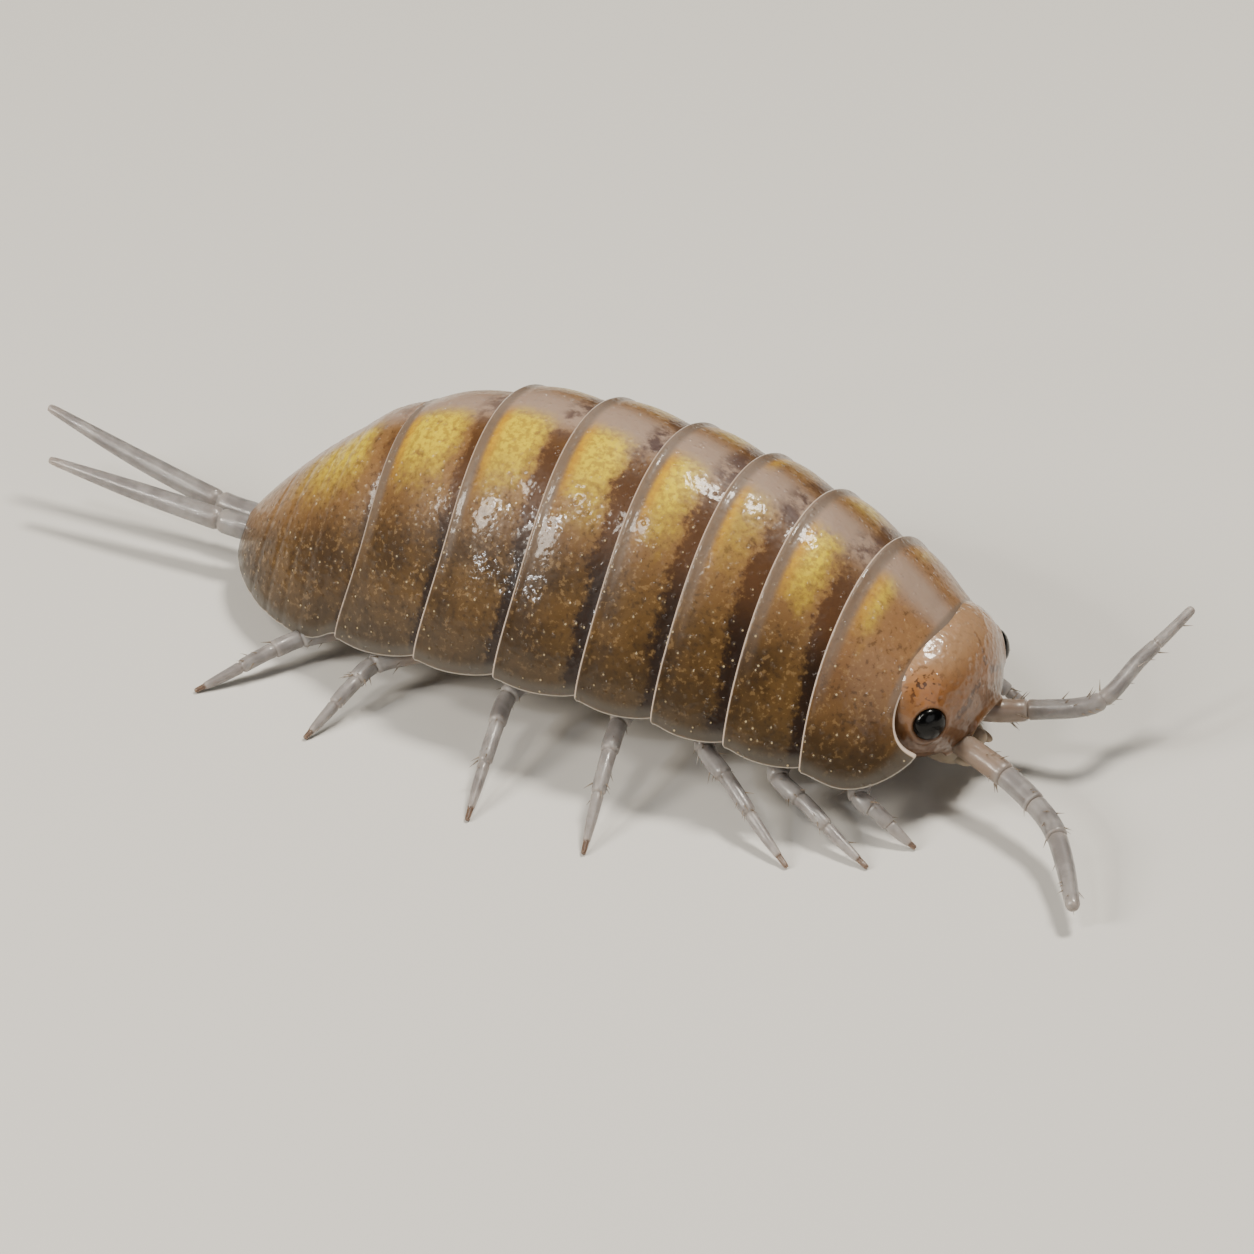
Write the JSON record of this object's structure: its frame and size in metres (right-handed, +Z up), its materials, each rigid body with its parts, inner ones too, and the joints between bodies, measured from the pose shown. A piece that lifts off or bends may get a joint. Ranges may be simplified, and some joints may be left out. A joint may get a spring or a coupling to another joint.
{
  "type": "woodlouse",
  "caption": "A standing woodlouse: domed body of overlapping plates with a rounded tail shield, head with eyes, jointed feelers, splayed legs and slender tail rods.",
  "frame": {"origin": "on the ground, under the middle of the box that holds the whole animal from feeler tips to tail rod tips", "axes": "+X towards the head, +Y towards the animal's left side, +Z up; the picture sees the right side, at -Y"},
  "size_m": [0.0274, 0.0124, 0.0064],
  "materials": {
    "shell": "wet gloss, pitted, with pale rims",
    "head": "wet gloss, pitted and speckled",
    "eye": "polished black",
    "limb": "soft gloss, slightly see-through",
    "underside": "pale satin"
  },
  "bodies": {
    "root": {"head": "head", "eye_right": "eye", "eye_left": "eye", "mouthparts": "underside", "plate_1": "shell", "plate_2": "shell", "plate_3": "shell", "plate_4": "shell", "plate_5": "shell", "plate_6": "shell", "plate_7": "shell", "tail_shield": "shell", "pleopods": "underside", "feeler_right_base": "limb", "feeler_right_second": "limb", "feeler_right_third": "limb", "feeler_right_tip": "limb", "feeler_left_base": "limb", "feeler_left_second": "limb", "feeler_left_third": "limb", "feeler_left_tip": "limb", "tail_rod_right_root": "limb", "tail_rod_right_branch": "limb", "tail_rod_left_root": "limb", "tail_rod_left_branch": "limb", "leg_right_1": "limb", "leg_right_2": "limb", "leg_right_3": "limb", "leg_right_4": "limb", "leg_right_5": "limb", "leg_right_6": "limb", "leg_right_7": "limb", "leg_left_1": "limb", "leg_left_2": "limb", "leg_left_3": "limb", "leg_left_4": "limb", "leg_left_5": "limb", "leg_left_6": "limb", "leg_left_7": "limb"}
  },
  "joints": []
}
